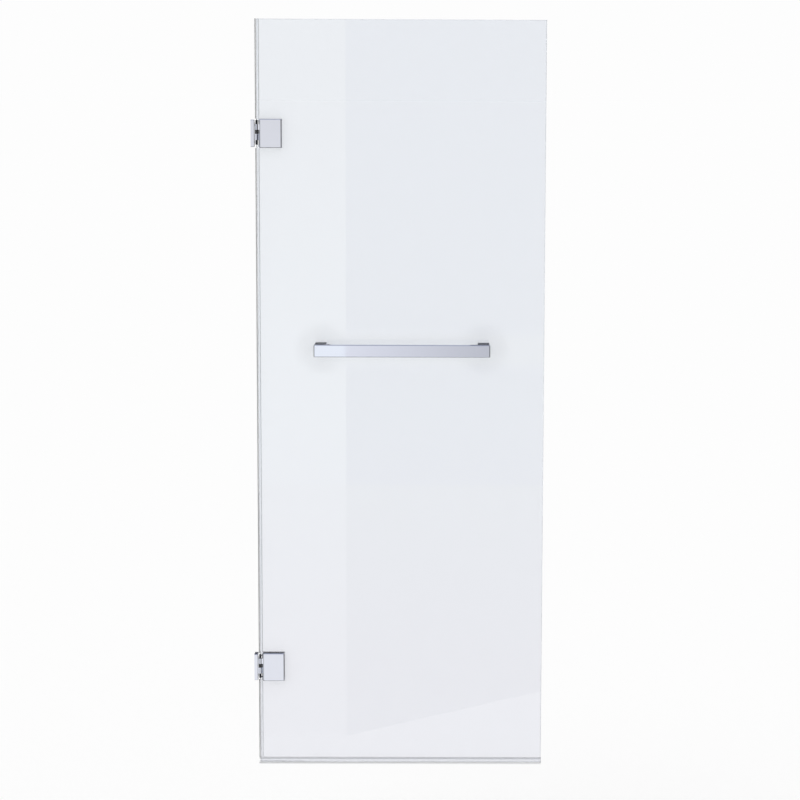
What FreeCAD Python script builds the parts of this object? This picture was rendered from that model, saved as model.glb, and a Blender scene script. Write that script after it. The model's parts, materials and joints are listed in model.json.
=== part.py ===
import FreeCAD, Part
import math
import os
import Sketcher

# Pivot tub door: a frameless glass panel hung on two wall hinges, with a towel bar.
# Frame: X = 0 is the wall, +X runs along the closed door to its free edge, +Z is up,
# Y = 0 is the middle of the glass and -Y is the side with the towel bar.
# The origin is the middle of the lower wall bracket's wall face. Millimetres.

SIZES = {
    # glass
    "glass_wide": 561.0,
    "glass_tall": 1470.0,
    "glass_thick": 8.0,
    "glass_wall_gap": 10.5,
    "glass_bevel": 1.0,
    # places of the hinges and the bar on the glass
    "hinge_rise": 195.2,
    "hinge_drop": 219.3,
    "bar_rise": 832.9,
    "bar_inset": 111.9,
    # wall bracket
    "bracket_thick": 7.5,
    "bracket_tall": 52.5,
    "bracket_bevel": 1.0,
    "wall_hole_pitch": 34.0,
    "wall_hole_wide": 4.5,
    "wall_sink_wide": 8.4,
    "wall_sink_deep": 3.8,
    # hinge barrel, pin and washers
    "barrel_wide": 6.8,
    "knuckle_rise": 6.8,
    "knuckle_tall": 10.8,
    "lug_tall": 12.0,
    "swing_gap": 0.6,
    "knuckle_relief": 0.5,
    "barrel_web_thick": 4.8,
    "pin_wide": 4.6,
    "pin_press": 0.02,
    "pin_running_gap": 0.05,
    "pin_top_out": 8.0,
    "pin_low_out": 9.0,
    "washer_thick": 3.8,
    "washer_face_gap": 0.05,
    # clamp plates and gaskets
    "plate_tall": 55.5,
    "plate_wide": 44.4,
    "plate_thick": 6.0,
    "plate_bevel": 1.3,
    "plate_round": 5.4,
    "gasket_thick": 1.0,
    "gasket_margin": 1.0,
    "notch_deep": 31.5,
    "notch_tall": 43.0,
    "notch_round": 5.0,
    "block_gap": 1.0,
    "block_short": 0.4,
    "clamp_pitch": 22.0,
    "clamp_screw_wide": 4.0,
    "clamp_screw_gap": 0.15,
    "clamp_screw_long": 16.0,
    "clamp_head_wide": 7.0,
    "clamp_head_tall": 2.8,
    "clamp_hex_wide": 2.5,
    "clamp_hex_deep": 1.5,
    "tapped_spare": 0.8,
    "thread_gap": 0.03,
    "head_gap": 0.3,
    # edge seal and bottom sweep
    "seal_wall": 1.0,
    "seal_crown": 1.5,
    "seal_grip": 5.5,
    "seal_taper": 2.2,
    "seal_lip": 0.35,
    "seal_fit": 0.1,
    "seal_end_gap": 0.3,
    "sweep_wall": 1.2,
    "sweep_grip": 8.6,
    "sweep_taper": 2.6,
    "sweep_lip": 0.4,
    "sweep_drop": 5.0,
    "wiper_thick": 1.1,
    "drip_reach": 3.2,
    "drip_fall": 3.6,
    "drip_thick": 1.0,
    # towel bar
    "bar_long": 342.0,
    "bar_tall": 24.1,
    "bar_thick": 11.0,
    "bar_bevel": 1.4,
    "bar_stand": 50.0,
    "post_wide": 25.0,
    "pad_thick": 1.0,
    "pad_margin": 1.2,
    "glass_hole_wide": 12.0,
    "sleeve_gap": 0.2,
    "bar_screw_wide": 5.0,
    "bar_screw_gap": 0.2,
    "bar_thread_deep": 7.0,
    "bar_screw_spare": 1.0,
    "cap_wide": 18.0,
    "cap_thick": 5.0,
    "cap_bevel": 0.5,
    "cap_hex_wide": 4.0,
    "cap_hex_deep": 2.2,
    # how far every cut runs past the face it goes through
    "overrun": 2.0,
}
# Coordinates closer than this count as the same
SAME_PLACE = 0.0001


class Size:
    """A length with its value and the sheet expression it is bound to."""

    def __init__(self, text, value):
        self.text = text
        self.value = value

    def __add__(self, other):
        return Size(f"({self.text} + {other.text})", self.value + other.value)

    def __sub__(self, other):
        return Size(f"({self.text} - {other.text})", self.value - other.value)

    def __neg__(self):
        return Size(f"(0 - {self.text})", -self.value)

    def __mul__(self, share):
        return Size(f"({self.text} * ({share!r}))", self.value * share)

    def __truediv__(self, share):
        return Size(f"({self.text} / ({share!r}))", self.value / share)

    def over(self, other):
        """This length divided by another: a plain share."""
        return Size(f"({self.text} / {other.text})", self.value / other.value)

    def times(self, other):
        return Size(f"({self.text} * {other.text})", self.value * other.value)


doc = FreeCAD.newDocument("tub_door")
sheet = doc.addObject("Spreadsheet::Sheet", "Sizes")
for row, (alias, number) in enumerate(SIZES.items(), start=1):
    sheet.set(f"A{row}", alias)
    sheet.set(f"B{row}", str(number))
    sheet.setAlias(f"B{row}", alias)
doc.recompute()

ZERO = Size("0", 0.0)
S = {alias: Size(f"Sizes.{alias}", number) for alias, number in SIZES.items()}

# Lengths worked out from the driving sizes
glass_front = -S["glass_thick"] / 2
glass_back = S["glass_thick"] / 2
glass_left = S["glass_wall_gap"]
glass_right = glass_left + S["glass_wide"]
glass_low = -S["hinge_rise"]
glass_high = glass_low + S["glass_tall"]
hinge_pitch = S["glass_tall"] - S["hinge_rise"] - S["hinge_drop"]
plate_inner = S["glass_thick"] / 2 + S["gasket_thick"]
plate_outer = plate_inner + S["plate_thick"]
barrel_r = S["barrel_wide"] / 2
pin_r = S["pin_wide"] / 2
axis_x = S["bracket_thick"] + S["swing_gap"] + barrel_r
axis_y = barrel_r - plate_outer
plate_left = axis_x + barrel_r
plate_right = plate_left + S["plate_wide"]
notch_right = glass_left + S["notch_deep"]
block_right = notch_right - S["block_gap"]
web_half = S["barrel_web_thick"] / 2
knuckle_low = S["knuckle_rise"]
knuckle_high = knuckle_low + S["knuckle_tall"]
lug_high = knuckle_low - S["washer_thick"] * 2 - S["washer_face_gap"]
lug_low = lug_high - S["lug_tall"]
running_r = pin_r + S["pin_running_gap"]
clamp_x = (plate_left + block_right) / 2
clamp_seat = plate_outer - S["head_gap"] - S["clamp_head_tall"]
clamp_tip = clamp_seat - S["clamp_screw_long"]
bar_z = glass_low + S["bar_rise"]
bar_left = glass_left + S["bar_inset"]
bar_right = bar_left + S["bar_long"]
bar_face = glass_front - S["bar_stand"]
bar_back = bar_face + S["bar_thick"]
post_foot = glass_front - S["pad_thick"]
cap_foot = glass_back + S["pad_thick"]
screw_bore = S["bar_screw_wide"] / 2 + S["bar_screw_gap"]
post_xs = (bar_left + S["post_wide"] / 2, bar_right - S["post_wide"] / 2)
seal_left = glass_left - S["seal_fit"] - S["seal_wall"] - S["seal_crown"]
sweep_low = glass_low - S["sweep_drop"]

parts = []


def bind(thing, path, size):
    thing.setExpression(path, size.text)


def new_part(label, at=(ZERO, ZERO, ZERO)):
    """A body whose label names its file, placed from the sheet."""
    body = doc.addObject("PartDesign::Body", label)
    body.Label = label
    for axis, size in zip("xyz", at):
        bind(body, f".Placement.Base.{axis}", size)
    parts.append(body)
    return body


def sketch_on(body, name, plane, lift=ZERO, shift=ZERO):
    """An empty sketch on one of the body's own origin planes, lifted along its normal."""
    sketch = body.newObject("Sketcher::SketchObject", name)
    support = [item for item in body.Origin.OriginFeatures if item.Role == plane][0]
    sketch.AttachmentSupport = [(support, "")]
    sketch.MapMode = "FlatFace"
    bind(sketch, ".AttachmentOffset.Base.z", lift)
    bind(sketch, ".AttachmentOffset.Base.x", shift)
    return sketch


def pin_point(sketch, piece, end, place):
    """Fix one point of a curve at a place measured from the sketch's origin."""
    for kind, size in zip(("DistanceX", "DistanceY"), place):
        index = sketch.addConstraint(Sketcher.Constraint(kind, -1, 1, piece, end, size.value))
        bind(sketch, f"Constraints[{index}]", size)


def outline(sketch, corners, arcs=None):
    """A closed outline through the corners; arcs gives a side's radius and a point on its curve."""
    arcs = arcs or {}
    first = len(sketch.Geometry)
    points = [FreeCAD.Vector(x.value, y.value, 0) for x, y in corners]
    ends = []
    for side, start in enumerate(points):
        far = points[(side + 1) % len(points)]
        order = (1, 2)
        if side in arcs:
            middle = arcs[side][1]
            via = FreeCAD.Vector(middle[0].value, middle[1].value, 0)
            if (via - start).cross(far - via).z < 0:
                start, far, order = far, start, (2, 1)
            sketch.addGeometry(Part.Arc(start, via, far), False)
        else:
            sketch.addGeometry(Part.LineSegment(start, far), False)
        ends.append(order)
    for side, place in enumerate(corners):
        follower = (side + 1) % len(points)
        sketch.addConstraint(Sketcher.Constraint(
            "Coincident", first + side, ends[side][1], first + follower, ends[follower][0]))
        pin_point(sketch, first + side, ends[side][0], place)
        if side in arcs:
            radius = arcs[side][0]
            index = sketch.addConstraint(Sketcher.Constraint("Radius", first + side, radius.value))
            bind(sketch, f"Constraints[{index}]", radius)


def circle(sketch, centre, radius):
    """A circle whose centre and radius are bound to the sheet."""
    piece = sketch.addGeometry(
        Part.Circle(FreeCAD.Vector(centre[0].value, centre[1].value, 0),
                    FreeCAD.Vector(0, 0, 1), radius.value), False)
    pin_point(sketch, piece, 3, centre)
    index = sketch.addConstraint(Sketcher.Constraint("Radius", piece, radius.value))
    bind(sketch, f"Constraints[{index}]", radius)


def rectangle(sketch, low, high):
    outline(sketch, [low, (high[0], low[1]), high, (low[0], high[1])])


def hexagon(sketch, across):
    """A regular hexagon for a key, given its width across the flats."""
    half = across / 2
    reach = across / math.sqrt(3)
    corners = [(reach, ZERO), (reach / 2, half), (-reach / 2, half)]
    corners += [(-reach, ZERO), (-reach / 2, -half), (reach / 2, -half)]
    outline(sketch, corners)


def extrude(body, kind, name, sketch, length, symmetric=False, backwards=False):
    """A pad or a pocket of one sketch."""
    feature = body.newObject(f"PartDesign::{kind}", name)
    feature.Profile = sketch
    feature.Reversed = backwards
    if symmetric:
        feature.SideType = "Symmetric"
    bind(feature, "Length", length)
    return feature


def spin(body, kind, name, sketch, axis):
    """A full revolution or groove about an axis of its own sketch."""
    feature = body.newObject(f"PartDesign::{kind}", name)
    feature.Profile = sketch
    feature.ReferenceAxis = (sketch, [axis])
    return feature


def dress(body, kind, name, size, wanted):
    """A fillet or chamfer on the edges of the tip that wanted() picks."""
    doc.recompute()
    base = body.Tip
    names = [f"Edge{number}" for number, edge in enumerate(base.Shape.Edges, start=1) if wanted(edge)]
    feature = body.newObject(f"PartDesign::{kind}", name)
    feature.Base = (base, names)
    bind(feature, "Radius" if kind == "Fillet" else "Size", size)
    return feature


def near(number, size):
    """True where a coordinate lies at a size."""
    return abs(number - size.value) < SAME_PLACE


def flat_in(edge, axis, size):
    """True for an edge that lies wholly in the plane where one coordinate equals a size."""
    box = edge.BoundBox
    return near(getattr(box, axis + "Min"), size) and near(getattr(box, axis + "Max"), size)


def glass_panel():
    """The glass, with a notch for each hinge and a hole for each bar post."""
    body = new_part("glass_panel")
    half_notch = S["notch_tall"] / 2
    sketch = sketch_on(body, "glass_outline", "XZ_Plane")
    corners = [(glass_left, glass_low)]
    corners.append((glass_right, glass_low))
    corners.append((glass_right, glass_high))
    corners.append((glass_left, glass_high))
    for centre in (hinge_pitch, ZERO):
        corners.append((glass_left, centre + half_notch))
        corners.append((notch_right, centre + half_notch))
        corners.append((notch_right, centre - half_notch))
        corners.append((glass_left, centre - half_notch))
    outline(sketch, corners)
    extrude(body, "Pad", "glass_pad", sketch, S["glass_thick"], symmetric=True)
    dress(body, "Fillet", "notch_corners", S["notch_round"],
          lambda edge: flat_in(edge, "X", notch_right) and edge.BoundBox.ZLength < edge.BoundBox.YLength)
    holes = sketch_on(body, "post_holes", "XZ_Plane")
    for post_x in post_xs:
        circle(holes, (post_x, bar_z), S["glass_hole_wide"] / 2)
    extrude(body, "Pocket", "post_hole_cut", holes, S["glass_thick"] + S["overrun"], symmetric=True)
    half = S["glass_thick"] / 2

    def wanted(edge):
        upright = flat_in(edge, "X", glass_left) or flat_in(edge, "X", glass_right)
        level = flat_in(edge, "Z", glass_low) or flat_in(edge, "Z", glass_high)
        return (upright or level) and (flat_in(edge, "Y", half) or flat_in(edge, "Y", -half))

    dress(body, "Chamfer", "polished_bevel", S["glass_bevel"], wanted)


def edge_seal(label, low, high):
    """A clear U-shaped strip with a crowned back and tapered lips, pushed over the hinge edge."""
    body = new_part(label)
    inner = S["glass_thick"] / 2 + S["seal_fit"]
    outer = inner + S["seal_wall"]
    web = glass_left - S["seal_fit"]
    back = web - S["seal_wall"]
    lip = glass_left + S["seal_grip"]
    taper = lip - S["seal_taper"]
    thin = inner + S["seal_lip"]
    crown = S["seal_crown"]
    radius = (outer.times(outer) + crown.times(crown)).over(crown) / 2
    sketch = sketch_on(body, "seal_section", "XY_Plane", low)
    corners = [(back, outer), (back, -outer), (taper, -outer), (lip, -thin), (lip, -inner)]
    corners += [(web, -inner), (web, inner), (lip, inner), (lip, thin), (taper, outer)]
    outline(sketch, corners, {0: (radius, (back - crown, ZERO))})
    extrude(body, "Pad", "seal_pad", sketch, high - low)


def bottom_sweep():
    """The clear channel under the glass, with a wiper and a drip fin on the tub's side."""
    body = new_part("bottom_sweep")
    inner = S["glass_thick"] / 2 + S["seal_fit"]
    outer = inner + S["sweep_wall"]
    top = glass_low + S["sweep_grip"]
    taper = top - S["sweep_taper"]
    thin = inner + S["sweep_lip"]
    floor_top = glass_low - S["seal_fit"]
    floor_low = floor_top - S["sweep_wall"]
    wiper = S["wiper_thick"] / 2
    sketch = sketch_on(body, "sweep_section", "YZ_Plane", seal_left)
    corners = [(-outer, taper), (-thin, top), (-inner, top), (-inner, floor_top)]
    corners += [(inner, floor_top), (inner, top), (thin, top), (outer, taper)]
    corners.append((outer, floor_low + S["drip_thick"]))
    corners.append((outer + S["drip_reach"], floor_low + S["drip_thick"] - S["drip_fall"]))
    corners.append((outer + S["drip_reach"] - S["drip_thick"], floor_low - S["drip_fall"]))
    corners.append((outer - S["drip_thick"], floor_low))
    corners += [(wiper, floor_low), (wiper, sweep_low), (-wiper, sweep_low), (-wiper, floor_low)]
    corners.append((-outer, floor_low))
    outline(sketch, corners)
    extrude(body, "Pad", "sweep_pad", sketch, glass_right - seal_left)


def wall_bracket(label, height):
    """The flat block on the wall, with its wall screw holes and the lug that holds the pin."""
    body = new_part(label, (ZERO, ZERO, height))
    plan = sketch_on(body, "block_plan", "XY_Plane")
    rectangle(plan, (ZERO, -plate_outer), (S["bracket_thick"], plate_outer))
    extrude(body, "Pad", "block_pad", plan, S["bracket_tall"], symmetric=True)
    dress(body, "Chamfer", "block_bevel", S["bracket_bevel"], lambda edge: not flat_in(edge, "X", ZERO))
    lug = sketch_on(body, "lug_plan", "XY_Plane", lug_low)
    root = S["bracket_thick"] - S["bracket_bevel"]
    rectangle(lug, (root, axis_y - web_half), (axis_x, axis_y + web_half))
    extrude(body, "Pad", "lug_pad", lug, S["lug_tall"])
    lug_end = sketch_on(body, "lug_end_plan", "XY_Plane", lug_low)
    circle(lug_end, (axis_x, axis_y), barrel_r)
    extrude(body, "Pad", "lug_end_pad", lug_end, S["lug_tall"])
    bore = sketch_on(body, "pin_bore", "XY_Plane", lug_high + S["overrun"])
    circle(bore, (axis_x, axis_y), pin_r - S["pin_press"])
    extrude(body, "Pocket", "pin_bore_cut", bore, S["lug_tall"] + S["overrun"] * 2)
    hole = S["wall_hole_wide"] / 2
    sink = S["wall_sink_wide"] / 2
    seat = S["bracket_thick"] - S["wall_sink_deep"]
    front = S["bracket_thick"] + S["overrun"]
    for name, side in (("upper", 1), ("lower", -1)):
        section = sketch_on(body, f"{name}_wall_hole", "XY_Plane", S["wall_hole_pitch"] * side / 2)
        corners = [(-S["overrun"], ZERO), (front, ZERO), (front, sink)]
        corners += [(seat, sink), (seat, hole), (-S["overrun"], hole)]
        outline(section, corners)
        spin(body, "Groove", f"{name}_wall_hole_cut", section, "H_Axis")


def hinge_body(label, height):
    """Front clamp plate, block in the glass notch and the knuckle, in one casting."""
    body = new_part(label, (ZERO, ZERO, height))
    curve = S["plate_round"]
    middle_share = 1 - math.sqrt(0.5)
    plan = sketch_on(body, "plate_plan", "XY_Plane")
    corners = [(plate_left, -plate_inner), (plate_left, curve - plate_outer)]
    corners += [(plate_left + curve, -plate_outer), (plate_right, -plate_outer)]
    corners.append((plate_right, -plate_inner))
    middle = (plate_left + curve * middle_share, curve * middle_share - plate_outer)
    outline(plan, corners, {1: (curve, middle)})
    extrude(body, "Pad", "plate_pad", plan, S["plate_tall"], symmetric=True)
    half = S["plate_tall"] / 2

    def wanted(edge):
        end_face = flat_in(edge, "Z", half) or flat_in(edge, "Z", -half)
        if flat_in(edge, "X", plate_right):
            return flat_in(edge, "Y", -plate_outer)
        return end_face and not flat_in(edge, "Y", -plate_inner)

    dress(body, "Chamfer", "plate_bevel", S["plate_bevel"], wanted)
    block = sketch_on(body, "notch_block_plan", "XY_Plane")
    rectangle(block, (plate_left, -plate_inner), (block_right, plate_inner - S["block_short"]))
    block_tall = S["notch_tall"] - S["block_gap"] * 2
    extrude(body, "Pad", "notch_block_pad", block, block_tall, symmetric=True)
    dress(body, "Fillet", "notch_block_corners", S["notch_round"] - S["block_gap"],
          lambda edge: flat_in(edge, "X", block_right) and edge.BoundBox.ZLength < edge.BoundBox.YLength)
    web_right = plate_left + S["plate_round"] / 2
    web = sketch_on(body, "knuckle_web", "XY_Plane", knuckle_low)
    rectangle(web, (axis_x, axis_y - web_half), (web_right, axis_y + web_half))
    extrude(body, "Pad", "knuckle_web_pad", web, S["knuckle_tall"])
    knuckle = sketch_on(body, "knuckle", "XY_Plane", knuckle_low)
    circle(knuckle, (axis_x, axis_y), barrel_r)
    extrude(body, "Pad", "knuckle_pad", knuckle, S["knuckle_tall"])
    relief = sketch_on(body, "lug_relief", "XY_Plane", knuckle_low)
    circle(relief, (axis_x, axis_y), barrel_r + S["knuckle_relief"])
    relief_low = lug_low - S["knuckle_relief"]
    extrude(body, "Pocket", "lug_relief_cut", relief, knuckle_low - relief_low)
    bore = sketch_on(body, "pin_bore", "XY_Plane", knuckle_high + S["overrun"])
    circle(bore, (axis_x, axis_y), running_r)
    extrude(body, "Pocket", "pin_bore_cut", bore, S["knuckle_tall"] + S["overrun"] * 2)
    tapped = sketch_on(body, "tapped_holes", "XZ_Plane", -(plate_inner + S["overrun"]))
    for side in (1, -1):
        circle(tapped, (clamp_x, S["clamp_pitch"] * side / 2), S["clamp_screw_wide"] / 2 + S["thread_gap"])
    deep = plate_inner + S["overrun"] - clamp_tip + S["tapped_spare"]
    extrude(body, "Pocket", "tapped_hole_cut", tapped, deep, backwards=True)


def back_plate(label, height):
    """The clamp plate on the far side of the glass, with two screw holes sunk for the heads."""
    body = new_part(label, (ZERO, ZERO, height))
    plan = sketch_on(body, "plate_plan", "XY_Plane")
    rectangle(plan, (plate_left, plate_inner), (plate_right, plate_outer))
    extrude(body, "Pad", "plate_pad", plan, S["plate_tall"], symmetric=True)
    dress(body, "Chamfer", "plate_bevel", S["plate_bevel"], lambda edge: flat_in(edge, "Y", plate_outer))
    hole = S["clamp_screw_wide"] / 2 + S["clamp_screw_gap"]
    sink = S["clamp_head_wide"] / 2 + S["head_gap"]
    low = plate_inner - S["overrun"]
    high = plate_outer + S["overrun"]
    for name, side in (("upper", 1), ("lower", -1)):
        section = sketch_on(body, f"{name}_screw_hole", "XY_Plane", S["clamp_pitch"] * side / 2, clamp_x)
        corners = [(ZERO, low), (hole, low), (hole, clamp_seat)]
        corners += [(sink, clamp_seat), (sink, high), (ZERO, high)]
        outline(section, corners)
        spin(body, "Groove", f"{name}_screw_hole_cut", section, "V_Axis")


def hinge_gasket(label, height, face):
    """A thin C-shaped sheet between a clamp plate and the glass, open around the notch block."""
    body = new_part(label, (ZERO, ZERO, height))
    half_notch = S["notch_tall"] / 2
    half = S["plate_tall"] / 2 - S["gasket_margin"]
    left = plate_left + S["gasket_margin"]
    right = plate_right - S["gasket_margin"]
    sketch = sketch_on(body, "gasket_outline", "XZ_Plane", -face)
    corners = [(left, -half), (right, -half), (right, half), (left, half)]
    corners += [(left, half_notch), (notch_right, half_notch)]
    corners += [(notch_right, -half_notch), (left, -half_notch)]
    outline(sketch, corners)
    extrude(body, "Pad", "gasket_pad", sketch, S["gasket_thick"])


def hinge_pin(label, height):
    """The pivot pin: pressed into the bracket's lug, it carries the knuckle above it."""
    body = new_part(label, (axis_x, axis_y, height))
    low = lug_low - S["pin_low_out"]
    sketch = sketch_on(body, "pin_plan", "XY_Plane", low)
    circle(sketch, (ZERO, ZERO), pin_r)
    extrude(body, "Pad", "pin_pad", sketch, knuckle_high + S["pin_top_out"] - low)


def thrust_washer(label, height, high):
    """One of the two thick nylon washers that carry the knuckle on the lug, given its top."""
    body = new_part(label, (axis_x, axis_y, height))
    sketch = sketch_on(body, "washer_plan", "XY_Plane", high - S["washer_thick"])
    circle(sketch, (ZERO, ZERO), barrel_r)
    circle(sketch, (ZERO, ZERO), running_r)
    extrude(body, "Pad", "washer_pad", sketch, S["washer_thick"])


def key_socket(body, face, across, deep):
    """A hexagonal socket sunk into a screw head from its face."""
    sketch = sketch_on(body, "key_socket", "XZ_Plane", -face)
    hexagon(sketch, across)
    extrude(body, "Pocket", "key_socket_cut", sketch, deep, backwards=True)


def headed_screw(body, tip, seat, shank, head, top):
    """A turned screw: a plain shank from its tip to its seat and a round head up to its top."""
    section = sketch_on(body, "screw_section", "XY_Plane")
    outline(section, [(ZERO, tip), (shank, tip), (shank, seat), (head, seat), (head, top), (ZERO, top)])
    spin(body, "Revolution", "screw_turned", section, "V_Axis")


def clamp_screw(label, height):
    """A screw that draws the back plate on to the front casting."""
    body = new_part(label, (clamp_x, ZERO, height))
    top = clamp_seat + S["clamp_head_tall"]
    headed_screw(body, clamp_tip, clamp_seat, S["clamp_screw_wide"] / 2, S["clamp_head_wide"] / 2, top)
    key_socket(body, top, S["clamp_hex_wide"], S["clamp_hex_deep"])


def towel_bar():
    """The flat bar, bevelled all round, with a tapped hole behind each end."""
    body = new_part("towel_bar")
    half = S["bar_tall"] / 2
    section = sketch_on(body, "bar_section", "YZ_Plane", bar_left)
    rectangle(section, (bar_face, bar_z - half), (bar_back, bar_z + half))
    extrude(body, "Pad", "bar_pad", section, S["bar_long"])
    dress(body, "Chamfer", "bar_bevel", S["bar_bevel"], lambda edge: not flat_in(edge, "Y", bar_back))
    tapped = sketch_on(body, "tapped_holes", "XZ_Plane", -(bar_back + S["overrun"]))
    for post_x in post_xs:
        circle(tapped, (post_x, bar_z), S["bar_screw_wide"] / 2 + S["thread_gap"])
    extrude(body, "Pocket", "tapped_hole_cut", tapped, S["bar_thread_deep"] + S["overrun"], backwards=True)


def drilled_block(label, post_x, low, high, half_wide, half_tall):
    """A rectangular block between two depths, bored through along the screw."""
    body = new_part(label, (post_x, ZERO, bar_z))
    sketch = sketch_on(body, "block_outline", "XZ_Plane", -high)
    rectangle(sketch, (-half_wide, -half_tall), (half_wide, half_tall))
    circle(sketch, (ZERO, ZERO), screw_bore)
    extrude(body, "Pad", "block_pad", sketch, high - low)
    return body


def bar_post(label, post_x):
    """A post between the bar and the glass, as tall as the bar, with its long edges bevelled."""
    half_wide = S["post_wide"] / 2
    half_tall = S["bar_tall"] / 2
    body = drilled_block(label, post_x, bar_back, post_foot, half_wide, half_tall)

    def wanted(edge):
        side = flat_in(edge, "X", half_wide) or flat_in(edge, "X", -half_wide)
        return side and (flat_in(edge, "Z", half_tall) or flat_in(edge, "Z", -half_tall))

    dress(body, "Chamfer", "post_bevel", S["bar_bevel"], wanted)


def bar_sleeve(label, post_x):
    """A clear sleeve that lines the hole in the glass, with a flange under the screw's cap."""
    body = new_part(label, (post_x, ZERO, bar_z))
    sleeve = S["glass_hole_wide"] / 2 - S["sleeve_gap"]
    flange = S["cap_wide"] / 2 - S["pad_margin"]
    section = sketch_on(body, "sleeve_section", "XY_Plane")
    corners = [(screw_bore, glass_front), (sleeve, glass_front), (sleeve, glass_back)]
    corners += [(flange, glass_back), (flange, cap_foot), (screw_bore, cap_foot)]
    outline(section, corners)
    spin(body, "Revolution", "sleeve_turned", section, "V_Axis")


def bar_cap_screw(label, post_x):
    """The screw from behind the glass through the post into the bar; its round head is the cap."""
    body = new_part(label, (post_x, ZERO, bar_z))
    top = cap_foot + S["cap_thick"]
    tip = bar_back - S["bar_thread_deep"] + S["bar_screw_spare"]
    headed_screw(body, tip, cap_foot, S["bar_screw_wide"] / 2, S["cap_wide"] / 2, top)
    dress(body, "Chamfer", "cap_bevel", S["cap_bevel"], lambda edge: flat_in(edge, "Y", top))
    key_socket(body, top, S["cap_hex_wide"], S["cap_hex_deep"])


glass_panel()

seal_clear = S["plate_tall"] / 2 + S["seal_end_gap"]
edge_seal("edge_seal_upper", hinge_pitch + seal_clear, glass_high)
edge_seal("edge_seal_middle", seal_clear, hinge_pitch - seal_clear)
edge_seal("edge_seal_lower", glass_low + S["sweep_grip"] + S["seal_end_gap"], -seal_clear)
bottom_sweep()

for name, height in (("lower", ZERO), ("upper", hinge_pitch)):
    wall_bracket(f"{name}_wall_bracket", height)
    hinge_pin(f"{name}_hinge_pin", height)
    hinge_body(f"{name}_hinge_body", height)
    thrust_washer(f"{name}_hinge_top_washer", height, knuckle_low)
    thrust_washer(f"{name}_hinge_bottom_washer", height, knuckle_low - S["washer_thick"])
    hinge_gasket(f"{name}_hinge_front_gasket", height, glass_front)
    hinge_gasket(f"{name}_hinge_back_gasket", height, plate_inner)
    back_plate(f"{name}_hinge_back_plate", height)
    clamp_screw(f"{name}_hinge_top_screw", height + S["clamp_pitch"] / 2)
    clamp_screw(f"{name}_hinge_bottom_screw", height - S["clamp_pitch"] / 2)

towel_bar()
for name, post_x in zip(("left", "right"), post_xs):
    bar_post(f"bar_post_{name}", post_x)
    half_pad = S["post_wide"] / 2 - S["pad_margin"]
    drilled_block(f"bar_front_pad_{name}", post_x, post_foot, glass_front,
                  half_pad, S["bar_tall"] / 2 - S["pad_margin"])
    bar_sleeve(f"bar_sleeve_{name}", post_x)
    bar_cap_screw(f"bar_cap_screw_{name}", post_x)

doc.recompute()

# Nothing is written unless every object is sound and every cut removes material
for item in doc.Objects:
    if "Invalid" in item.State or "Error" in item.State:
        raise RuntimeError(f"{item.Label} in {item.FullName} is in state {item.State}")
    if item.TypeId in ("PartDesign::Pocket", "PartDesign::Groove"):
        if not item.Shape.Volume < item.BaseFeature.Shape.Volume:
            raise RuntimeError(f"{item.Name} cuts nothing")
for body in parts:
    if body.Shape.isNull() or not body.Shape.isValid() or len(body.Shape.Solids) != 1:
        raise RuntimeError(f"{body.Label} is not one sound solid")

os.makedirs("parts", exist_ok=True)
for body in parts:
    body.Shape.exportStep(f"parts/{body.Label}.step")
    box = body.Shape.BoundBox
    print(f"{body.Label}: {body.Shape.Volume:.1f} mm3, x {box.XMin:.2f} {box.XMax:.2f},"
          f" y {box.YMin:.2f} {box.YMax:.2f}, z {box.ZMin:.2f} {box.ZMax:.2f}")
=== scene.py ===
import json
import math

import bpy
from mathutils import Matrix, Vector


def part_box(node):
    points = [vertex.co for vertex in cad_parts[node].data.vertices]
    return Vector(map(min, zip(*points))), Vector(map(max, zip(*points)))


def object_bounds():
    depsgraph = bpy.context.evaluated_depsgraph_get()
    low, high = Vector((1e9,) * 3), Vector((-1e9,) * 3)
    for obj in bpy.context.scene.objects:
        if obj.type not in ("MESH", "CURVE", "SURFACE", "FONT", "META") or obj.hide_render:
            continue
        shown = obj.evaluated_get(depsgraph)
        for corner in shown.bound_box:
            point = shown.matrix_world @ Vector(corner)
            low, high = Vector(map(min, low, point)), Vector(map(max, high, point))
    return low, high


# Looks of the pivot tub door: glass, clear strips, bright metal and a white studio.
# Metres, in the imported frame: +X from the wall to the free edge, +Z up, -Y towards the viewer.

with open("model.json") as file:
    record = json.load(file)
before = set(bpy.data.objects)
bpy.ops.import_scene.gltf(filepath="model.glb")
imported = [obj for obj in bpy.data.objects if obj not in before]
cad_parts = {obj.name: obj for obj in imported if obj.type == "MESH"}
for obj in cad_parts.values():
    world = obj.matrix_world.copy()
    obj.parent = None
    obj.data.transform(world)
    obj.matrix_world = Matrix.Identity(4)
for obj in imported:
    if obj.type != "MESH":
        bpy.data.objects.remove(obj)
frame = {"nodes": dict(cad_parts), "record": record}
NODES = frame["nodes"]
SLOT_OF = {part["node"]: part["material_slot"] for part in frame["record"]["subparts"]}
cad_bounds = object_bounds()
DOOR_BOTTOM_Z = cad_bounds[0][2]

# The photograph's camera, solved from the edges of the glass, the seal and the sweep
EYE = (0.3711, -4.5833, 1.1332)
PITCH_DOWN = math.radians(7.423)
TURN_LEFT = math.radians(-0.555)
ROLL = math.radians(0.252)
LENS_MM = 105.80
SENSOR_MM = 36.0
LENS_SHIFT = -0.0806

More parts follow.
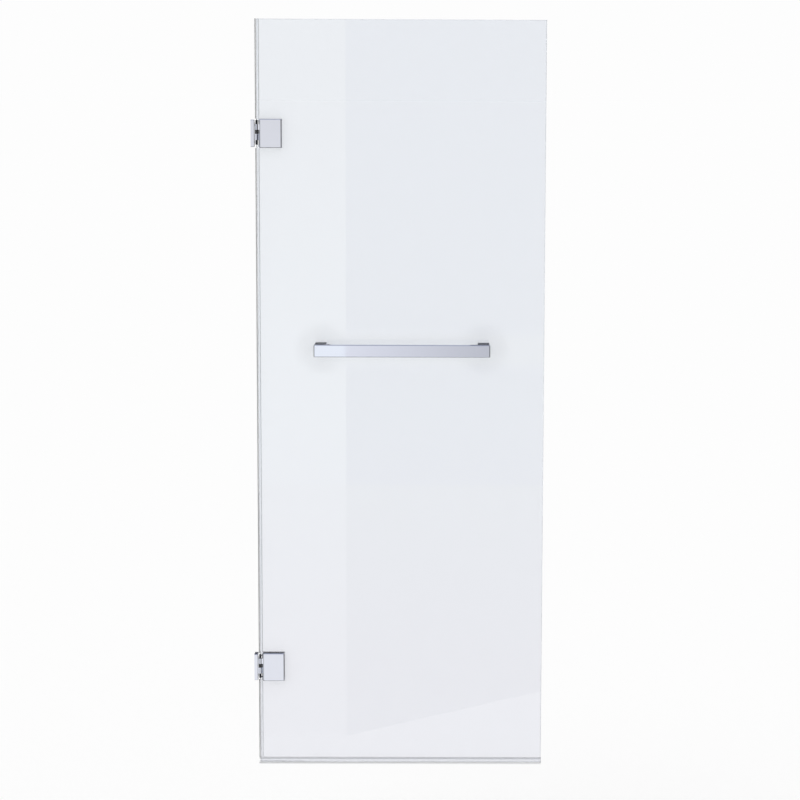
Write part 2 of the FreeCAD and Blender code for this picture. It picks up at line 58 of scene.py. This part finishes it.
# The glass: its tint low down and above, and the soft shade beside the pieces it carries.
# The shade starts past the strips' ends.
GLASS_LOW_TINT = (0.873, 0.882, 0.928)
GLASS_HIGH_TINTS = ((0.872, 0.899, 0.938), (0.882, 0.909, 0.945))
GLASS_TINT_RISE_Z = (0.0, 0.5)
SEAL_LIP_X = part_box("edge_seal_middle")[1].x
SWEEP_TOP_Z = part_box("bottom_sweep")[1].z
SHADE_BLEND = 0.0005
SHADE_REACH = 0.045
SHADE_DEPTH = 0.45
SHADE_TINT = (0.2, 0.2, 0.22)

# The soft fins hang this far below the sweep's channel, which they leave over a short blend
SWEEP_FIN_TALL = 0.0037
SWEEP_FIN_BLEND = 0.0003
FIN_TOP_Z = DOOR_BOTTOM_Z + SWEEP_FIN_TALL
FIN_TINT = (0.76, 0.765, 0.78)

# White floor and sky, and the share of the light that comes from the sky and not from the sun
BACKDROP_WHITE = 0.983
SKY_SHARE = 0.86
SUN_SPREAD = math.radians(40)
SUN_LEAN = math.radians(35)
SUN_TURN = math.radians(-25)
FLOOR_WHITE = 0.998
FLOOR_DROP = 0.52
FLOOR_REACH = 600.0
FLOOR_Z = DOOR_BOTTOM_Z - FLOOR_DROP

# Cards: sheets that show in mirrors alone, or through glass too. They reach up to CARD_TOP_Z,
# and those that lie on the floor are lifted off it and off each other.
CARD_TOP_Z = 3.4
FRONT_LIFT = 0.001
UNDER_LIFT = 0.002
LOW_LIFT = 0.003
PLAIN = (1.0, 1.0, 1.0)
COOL = (1.0, 1.0, 1.05)
BLUISH = (0.9, 0.95, 1.2)
DEEP_BLUISH = (0.85, 0.9, 1.2)

# What a ray has crossed: one sheet of glass has two faces, so more than three means vinyl too
ONE_SHEET_FACES = 1.5
PLAIN_GLASS_FACES = 3.0
ONE_MIRROR = 0.5

# The cards in front, which the glass and the bright faces mirror: a light half and a grey half
FRONT_Y = -6.5
FRONT_LEFT_X = -4.0
FRONT_RIGHT_X = 4.5
GLASS_EDGE_X = 0.183
LIGHT_FADE_Z = (-0.1, 1.0)
LIGHT_LEVELS = (0.97, 0.80)
LIGHT_TINTS = ((0.975, 1.0, 1.03), (1.0, 0.985, 0.99))
BAR_BAND_X = (-0.1, 0.62)
BAR_BAND_LEVELS = (0.85, 0.58)
BAR_BAND_TOP_Z = (-0.015, 0.03)
BAR_BAND_FOOT_Z = (-0.125, -0.17)
AWAY_LEVEL = 0.36
AWAY_TINT = (0.97, 1.0, 1.4)

# Their continuation on the floor, which ends at a slanted near edge through two places
NEAR_EDGE = ((-0.113, -1.888), (0.683, -2.599))
FLOOR_RIGHT_X = 2.0
FLOOR_LIGHT_LEVEL = 0.88
FLOOR_LIGHT_TINT = (1.01, 1.0, 1.01)
FLOOR_GREY_LEVEL = 0.50

# The sheets at both sides; the dark right one has an opening
SIDE_X = 1.5
SIDE_NEAR_Y = -6.4
RIGHT_FAR_Y = 1.0
RIGHT_LEVEL = 0.04
OPENING_Y = (-2.8, -1.4)
OPENING_Z = (-0.35, 0.6)
LEFT_BREAK_Y = -0.1
LEFT_FAR_Y = 2.0
LEFT_FADE_Y = (-3.0, -0.2)
LEFT_LEVELS = (0.80, 0.40)
LEFT_BACK_LEVEL = 0.08

# The sheets above and below: left, right, near and far edge, then level
TOP_EDGES = (-2.5, 3.2, -4.0, 2.0)
TOP_LEVEL = 0.40
UNDER_EDGES = (-0.8, 1.4, -0.95, 0.12)
UNDER_LEVEL = 0.32
LOW_BACK_EDGES = (-0.12, 0.70, 0.12, 1.25)
LOW_BACK_LEVEL = 0.58

# The small sheets far behind, mirrored by level faces: name, X from and to, Z from and to, level,
# and whether they hide from mirrors that see them past no glass
FAR_Y = 12.0
FAR_CARDS = (("left_post", -0.62, -0.42, 1.86, 2.01, 0.02, True),
             ("right_post", 0.57, 0.76, 1.86, 2.01, 0.02, True),
             ("hinge", -1.15, -0.60, 2.90, 3.04, 0.05, False))

# The sheets behind at both sides, grey on the right and dark on the left, and below them on the
# floor, where each is a list of corners on plan
BACK_RIGHT = ((1.2, 6.0), (8.0, 3.0))
BACK_LEFT = ((-1.75, 6.0), (-8.0, 3.0))
LOW_RIGHT = ((0.70, 0.12), (6.0, 0.12), (6.0, 6.0), (1.15, 6.0))
LOW_LEFT = ((-6.0, 0.12), (-0.12, 0.12), (-1.75, 6.0), (-6.0, 6.0))
BACK_RIGHT_LEVEL = 0.50
BACK_LEFT_LEVEL = 0.06


# Small helpers for shader nodes

def new_material(name):
    """An empty node material with its Principled shader: returns material, nodes, links, shader."""
    material = bpy.data.materials.new(name)
    material.use_nodes = True
    tree = material.node_tree
    return material, tree.nodes, tree.links, tree.nodes["Principled BSDF"]


def set_sockets(shader, **values):
    """Sets sockets of a shader by name; an underscore in a keyword stands for a space."""
    for name, value in values.items():
        shader.inputs[name.replace("_", " ")].default_value = value


def stretched_noise(nodes, links, scale, stretch, detail):
    """Noise on Object coordinates, stretched per axis; returns its factor output."""
    place = nodes.new("ShaderNodeTexCoord")
    mapping = nodes.new("ShaderNodeMapping")
    mapping.inputs["Scale"].default_value = stretch
    noise = nodes.new("ShaderNodeTexNoise")
    set_sockets(noise, Scale=scale, Detail=detail)
    links.new(place.outputs["Object"], mapping.inputs["Vector"])
    links.new(mapping.outputs["Vector"], noise.inputs["Vector"])
    return noise.outputs["Fac"]


def span(nodes, links, factor, levels, ends=(0.0, 1.0)):
    """Runs between two levels while the factor runs between two ends; returns the result."""
    mapped = nodes.new("ShaderNodeMapRange")
    set_sockets(mapped, From_Min=ends[0], From_Max=ends[1], To_Min=levels[0], To_Max=levels[1])
    links.new(factor, mapped.inputs["Value"])
    return mapped.outputs["Result"]


def ramp_along(nodes, links, axis, ends, levels=(0.0, 1.0)):
    """Runs between two levels from one place to another on an Object axis."""
    place = nodes.new("ShaderNodeTexCoord")
    split = nodes.new("ShaderNodeSeparateXYZ")
    links.new(place.outputs["Object"], split.inputs["Vector"])
    return span(nodes, links, split.outputs[axis], levels, ends)


def math_step(nodes, links, operation, *factors):
    """One step of arithmetic on sockets or numbers; returns its output."""
    step = nodes.new("ShaderNodeMath")
    step.operation = operation
    for number, factor in enumerate(factors):
        if isinstance(factor, float):
            step.inputs[number].default_value = factor
        else:
            links.new(factor, step.inputs[number])
    return step.outputs[0]


def blend_colours(nodes, links, factor, first, second):
    """Mixes two colours, each a tuple or a socket, by a factor; returns the colour output."""
    mix = nodes.new("ShaderNodeMix")
    mix.data_type = "RGBA"
    links.new(factor, mix.inputs["Factor"])
    for socket, colour in (("A", first), ("B", second)):
        if isinstance(colour, tuple):
            mix.inputs[socket].default_value = (*colour, 1.0)
        else:
            links.new(colour, mix.inputs[socket])
    return mix.outputs["Result"]


# Finishes, one function for each material slot of the record

def grained(name, scale, tints, roughness, stretch=(1.0, 1.0, 1.0), detail=3.0, relief=0.0,
            **sockets):
    """A finish whose fine noise moves its tint and roughness, with a relief in metres if given.

    Returns material, nodes, links, shader and the tint.
    """
    material, nodes, links, shader = new_material(name)
    set_sockets(shader, **sockets)
    grain = stretched_noise(nodes, links, scale, stretch, detail)
    tint = blend_colours(nodes, links, grain, *tints)
    links.new(tint, shader.inputs["Base Color"])
    links.new(span(nodes, links, grain, roughness), shader.inputs["Roughness"])
    if relief:
        bump = nodes.new("ShaderNodeBump")
        set_sockets(bump, Distance=relief, Strength=1.0)
        links.new(grain, bump.inputs["Height"])
        links.new(bump.outputs["Normal"], shader.inputs["Normal"])
    return material, nodes, links, shader, tint


def shade_beside(nodes, links):
    """How deep the soft shade of close pieces lies on the bare glass; returns its factor output."""
    hollow = nodes.new("ShaderNodeAmbientOcclusion")
    set_sockets(hollow, Distance=SHADE_REACH)
    closeness = span(nodes, links, hollow.outputs["AO"], (1.0, 0.0))
    spread = math_step(nodes, links, "SQRT", closeness)
    side = nodes.new("ShaderNodeNewGeometry")
    outside = span(nodes, links, side.outputs["Backfacing"], (SHADE_DEPTH, 0.0))
    past_seal = ramp_along(nodes, links, "X", (SEAL_LIP_X, SEAL_LIP_X + SHADE_BLEND))
    past_sweep = ramp_along(nodes, links, "Z", (SWEEP_TOP_Z, SWEEP_TOP_Z + SHADE_BLEND))
    bare = math_step(nodes, links, "MULTIPLY", past_seal, past_sweep)
    soft = math_step(nodes, links, "MULTIPLY", spread, outside)
    return math_step(nodes, links, "MULTIPLY", soft, bare)


def clear_glass():
    """Clear sheet, greener towards its top, with a soft shade beside the clamps and posts."""
    material, nodes, links, shader = new_material("clear_glass")
    set_sockets(shader, Transmission_Weight=0.95, IOR=1.52, Roughness=0.0,
                Coat_Weight=0.7, Coat_Roughness=0.0)
    drift = stretched_noise(nodes, links, scale=1.4, stretch=(1.0, 1.0, 0.5), detail=1.0)
    high = blend_colours(nodes, links, drift, *GLASS_HIGH_TINTS)
    rise = ramp_along(nodes, links, "Z", GLASS_TINT_RISE_Z)
    tint = blend_colours(nodes, links, rise, GLASS_LOW_TINT, high)
    shaded = blend_colours(nodes, links, shade_beside(nodes, links), tint, SHADE_TINT)
    links.new(shaded, shader.inputs["Base Color"])
    return material


def chrome():
    """Bright plating, a little bluish, with the faintest cloud in its polish."""
    return grained("chrome", scale=60.0, roughness=(0.015, 0.04), Metallic=1.0,
                   tints=((0.83, 0.86, 0.94), (0.85, 0.88, 0.955)))[0]


def steel():
    """Turned stainless screws, with rings along their axis."""
    return grained("steel", scale=900.0, stretch=(0.1, 2.0, 0.1), detail=2.0, relief=0.00003,
                   roughness=(0.22, 0.36), Metallic=1.0,
                   tints=((0.5, 0.51, 0.53), (0.66, 0.67, 0.69)))[0]


def black_steel():
    """Turned pins in near-black steel: the dark is painted shade, standing in for the shade in the
    hinge gap.
    """
    return grained("black_steel", scale=900.0, stretch=(0.1, 0.1, 2.0), detail=2.0,
                   roughness=(0.25, 0.4), Metallic=1.0,
                   tints=((0.035, 0.036, 0.04), (0.06, 0.062, 0.068)))[0]


def black_nylon():
    """Moulded nylon washers with a fine matt grain, near-black: partly the nylon's own colour,
    partly painted shade standing in for the shade between the hinge's knuckles.
    """
    return grained("black_nylon", scale=1500.0, relief=0.00002, roughness=(0.4, 0.55),
                   tints=((0.012, 0.012, 0.014), (0.03, 0.03, 0.034)))[0]


def clear_gasket():
    """Soft translucent sheet between metal and glass."""
    return grained("clear_gasket", scale=220.0, roughness=(0.35, 0.5),
                   Transmission_Weight=0.55, IOR=1.48,
                   tints=((0.80, 0.81, 0.83), (0.88, 0.89, 0.91)))[0]


def clear_vinyl():
    """Clear strip with faint drawn lines; the soft fins under the sweep are a milkier grade."""
    material, nodes, links, shader, strip = grained(
        "clear_vinyl", scale=350.0, stretch=(1.0, 1.0, 0.02), detail=2.0, roughness=(0.01, 0.04),
        Transmission_Weight=1.0, IOR=1.53, tints=((0.965, 0.97, 0.98), (0.985, 0.99, 0.995)))
    fin = ramp_along(nodes, links, "Z", (FIN_TOP_Z, FIN_TOP_Z - SWEEP_FIN_BLEND))
    tint = blend_colours(nodes, links, fin, strip, FIN_TINT)
    links.new(tint, shader.inputs["Base Color"])
    return material


# The studio: floor, cards, sky, sun and camera

def lying(edges, height):
    """The corners of a level sheet between its left, right, near and far edge."""
    left, right, near, far = edges
    return [(left, near, height), (right, near, height), (right, far, height), (left, far, height)]


def laid(places, height):
    """The corners of a level sheet over places on plan."""
    return [(*place, height) for place in places]


def standing(start, end, low=FLOOR_Z, high=CARD_TOP_Z):
    """The corners of an upright sheet between two places on plan."""
    return [(*start, low), (*end, low), (*end, high), (*start, high)]


def quad(name, corners, material):
    """A flat four-cornered sheet, linked into the scene."""
    mesh = bpy.data.meshes.new(name)
    mesh.from_pydata(corners, [], [(0, 1, 2, 3)])
    mesh.materials.append(material)
    sheet = bpy.data.objects.new(name, mesh)
    bpy.context.scene.collection.objects.link(sheet)
    return sheet


def build_floor():
    material, _, _, shader = new_material("floor_white")
    white = (FLOOR_WHITE, FLOOR_WHITE, FLOOR_WHITE, 1.0)
    set_sockets(shader, Base_Color=white, Roughness=1.0, Specular_IOR_Level=0.0)
    edges = (-FLOOR_REACH, FLOOR_REACH, -FLOOR_REACH, FLOOR_REACH)
    quad("studio_floor", lying(edges, FLOOR_Z), material)


def hide_behind_plain_glass(nodes, links, face, past_glass):
    """Leaves a card to rays off metal or through vinyl over glass, and not through plain glass.

    With past_glass the rays off metal have to come through the glass too.
    """
    path = nodes.new("ShaderNodeLightPath")
    faces = path.outputs["Transmission Depth"]
    layered = math_step(nodes, links, "GREATER_THAN", faces, PLAIN_GLASS_FACES)
    mirrors = math_step(nodes, links, "SUBTRACT", path.outputs["Ray Depth"], faces)
    mirrored = math_step(nodes, links, "GREATER_THAN", mirrors, ONE_MIRROR)
    shown = math_step(nodes, links, "MAXIMUM", layered, mirrored)
    if past_glass:
        crossed = math_step(nodes, links, "GREATER_THAN", faces, ONE_SHEET_FACES)
        shown = math_step(nodes, links, "MULTIPLY", shown, crossed)
    clear = nodes.new("ShaderNodeBsdfTransparent")
    mix = nodes.new("ShaderNodeMixShader")
    links.new(shown, mix.inputs["Fac"])
    links.new(clear.outputs["BSDF"], mix.inputs[1])
    links.new(face, mix.inputs[2])
    return mix.outputs["Shader"]


def card(name, corners, level=1.0, tint=PLAIN, through_glass=False, past_glass=False):
    """A sheet that mirrors see, through glass too if asked; returns its nodes, links and glow."""
    material = bpy.data.materials.new(name)
    material.use_nodes = True
    nodes, links = material.node_tree.nodes, material.node_tree.links
    nodes.remove(nodes["Principled BSDF"])
    glow = nodes.new("ShaderNodeEmission")
    set_sockets(glow, Color=(*tint, 1.0), Strength=level)
    face = glow.outputs["Emission"]
    if through_glass:
        face = hide_behind_plain_glass(nodes, links, face, past_glass)
    links.new(face, nodes["Material Output"].inputs["Surface"])
    sheet = quad(name, corners, material)
    sheet.visible_camera = False
    sheet.visible_diffuse = False
    sheet.visible_shadow = False
    sheet.visible_transmission = through_glass
    return nodes, links, glow


def mirrored_x(y):
    """Where the mirrored edge of the grey half stands on plan, at a depth before the glass."""
    return GLASS_EDGE_X + (GLASS_EDGE_X - EYE[0]) * y / EYE[1]


def build_front_cards():
    """The light and the grey half that stand in front, and their continuation on the floor."""
    left, right = (FRONT_LEFT_X, FRONT_Y), (FRONT_RIGHT_X, FRONT_Y)
    middle = (mirrored_x(FRONT_Y), FRONT_Y)
    nodes, links, glow = card("card_front_light", standing(left, middle))
    links.new(ramp_along(nodes, links, "Z", LIGHT_FADE_Z, LIGHT_LEVELS), glow.inputs["Strength"])
    rise = ramp_along(nodes, links, "Z", LIGHT_FADE_Z)
    links.new(blend_colours(nodes, links, rise, *LIGHT_TINTS), glow.inputs["Color"])

    # The bar mirrors a low band of the grey half; the glass mirrors a darker one round it
    nodes, links, glow = card("card_front_grey", standing(middle, right))
    band = ramp_along(nodes, links, "X", BAR_BAND_X, BAR_BAND_LEVELS)
    above = ramp_along(nodes, links, "Z", BAR_BAND_TOP_Z)
    below = ramp_along(nodes, links, "Z", BAR_BAND_FOOT_Z)
    away = math_step(nodes, links, "MAXIMUM", above, below)
    level = nodes.new("ShaderNodeMix")
    level.inputs["B"].default_value = AWAY_LEVEL
    links.new(away, level.inputs["Factor"])
    links.new(band, level.inputs["A"])
    links.new(level.outputs["Result"], glow.inputs["Strength"])
    links.new(blend_colours(nodes, links, away, COOL, AWAY_TINT), glow.inputs["Color"])

    (near_x, near_y), (other_x, other_y) = NEAR_EDGE
    slope = (other_y - near_y) / (other_x - near_x)
    lean = (GLASS_EDGE_X - EYE[0]) / EYE[1]
    cross_y = (near_y + slope * (GLASS_EDGE_X - near_x)) / (1.0 - slope * lean)
    cross = (mirrored_x(cross_y), cross_y)
    right_end = (FLOOR_RIGHT_X, near_y + slope * (FLOOR_RIGHT_X - near_x))
    height = FLOOR_Z + FRONT_LIFT
    card("card_floor_light", laid((left, middle, cross, (FRONT_LEFT_X, cross_y)), height),
         FLOOR_LIGHT_LEVEL, FLOOR_LIGHT_TINT)
    card("card_floor_grey", laid((middle, right, right_end, cross), height),
         FLOOR_GREY_LEVEL, COOL)


def build_side_cards():
    """Grey and dark sheets outside the picture, which draw the lines along bevels and edges."""
    # The opening in the dark right side keeps the metal bright when seen from the left
    opening_near, opening_far = OPENING_Y
    opening_foot, opening_top = OPENING_Z
    for name, near, far, low, high in (
            ("far", opening_far, RIGHT_FAR_Y, FLOOR_Z, CARD_TOP_Z),
            ("near", SIDE_NEAR_Y, opening_near, FLOOR_Z, CARD_TOP_Z),
            ("high", opening_near, opening_far, opening_top, CARD_TOP_Z),
            ("low", opening_near, opening_far, FLOOR_Z, opening_foot)):
        corners = standing((SIDE_X, near), (SIDE_X, far), low, high)
        card(f"card_right_{name}", corners, RIGHT_LEVEL)

    corners = standing((-SIDE_X, SIDE_NEAR_Y), (-SIDE_X, LEFT_BREAK_Y))
    nodes, links, glow = card("card_left", corners)
    links.new(ramp_along(nodes, links, "Y", LEFT_FADE_Y, LEFT_LEVELS), glow.inputs["Strength"])
    card("card_left_back", standing((-SIDE_X, LEFT_BREAK_Y), (-SIDE_X, LEFT_FAR_Y)),
         LEFT_BACK_LEVEL)
    card("card_top", lying(TOP_EDGES, CARD_TOP_Z), TOP_LEVEL, BLUISH)
    card("card_under", lying(UNDER_EDGES, FLOOR_Z + UNDER_LIFT), UNDER_LEVEL)

    for name, left, right, low, high, level, past_glass in FAR_CARDS:
        corners = standing((left, FAR_Y), (right, FAR_Y), low, high)
        card(f"card_behind_{name}", corners, level, DEEP_BLUISH, True, past_glass)
    low_z = FLOOR_Z + LOW_LIFT
    for name, corners, level in (
            ("card_back_right", standing(*BACK_RIGHT), BACK_RIGHT_LEVEL),
            ("card_back_left", standing(*BACK_LEFT), BACK_LEFT_LEVEL),
            ("card_low_left", laid(LOW_LEFT, low_z), BACK_LEFT_LEVEL),
            ("card_low_right", laid(LOW_RIGHT, low_z), BACK_RIGHT_LEVEL),
            ("card_low_back", lying(LOW_BACK_EDGES, FLOOR_Z + UNDER_LIFT), LOW_BACK_LEVEL)):
        card(name, corners, level, through_glass=True)


def build_sky_and_sun():
    """A white sky, a shade darker where it only lights the door, and one soft sun."""
    world = bpy.data.worlds.new("studio_sky")
    bpy.context.scene.world = world
    world.use_nodes = True
    nodes, links = world.node_tree.nodes, world.node_tree.links
    path = nodes.new("ShaderNodeLightPath")
    shown = math_step(nodes, links, "MAXIMUM",
                      path.outputs["Is Camera Ray"], path.outputs["Is Glossy Ray"])
    seen = math_step(nodes, links, "MAXIMUM", shown, path.outputs["Is Transmission Ray"])
    level = span(nodes, links, seen, (SKY_SHARE * BACKDROP_WHITE, BACKDROP_WHITE))
    background = nodes["Background"]
    background.inputs["Color"].default_value = (1.0, 1.0, 1.0, 1.0)
    links.new(level, background.inputs["Strength"])

    sun = bpy.data.lights.new("soft_sun", "SUN")
    sun.angle = SUN_SPREAD
    sun.energy = math.pi * (1.0 - SKY_SHARE) / math.cos(SUN_LEAN)
    lamp = bpy.data.objects.new("soft_sun", sun)
    lamp.rotation_euler = (SUN_LEAN, 0.0, SUN_TURN)
    bpy.context.scene.collection.objects.link(lamp)


def build_camera():
    lens = bpy.data.cameras.new("photo_camera")
    lens.lens = LENS_MM
    lens.sensor_width = SENSOR_MM
    lens.shift_x = LENS_SHIFT
    lens.clip_end = FLOOR_REACH * 2
    camera = bpy.data.objects.new("photo_camera", lens)
    turn = Matrix.Rotation(TURN_LEFT, 4, "Z")
    tilt = Matrix.Rotation(math.pi / 2 - PITCH_DOWN, 4, "X")
    roll = Matrix.Rotation(ROLL, 4, "Z")
    camera.matrix_world = Matrix.Translation(EYE) @ turn @ tilt @ roll
    bpy.context.scene.collection.objects.link(camera)
    bpy.context.scene.camera = camera


FINISHES = {finish.__name__: finish() for finish in (
    clear_glass, chrome, steel, black_steel, black_nylon, clear_gasket, clear_vinyl)}
for name, node in NODES.items():
    node.data.materials.clear()
    node.data.materials.append(FINISHES[SLOT_OF[name]])

build_floor()
build_front_cards()
build_side_cards()
build_sky_and_sun()
build_camera()
bpy.context.scene.view_settings.view_transform = "Standard"
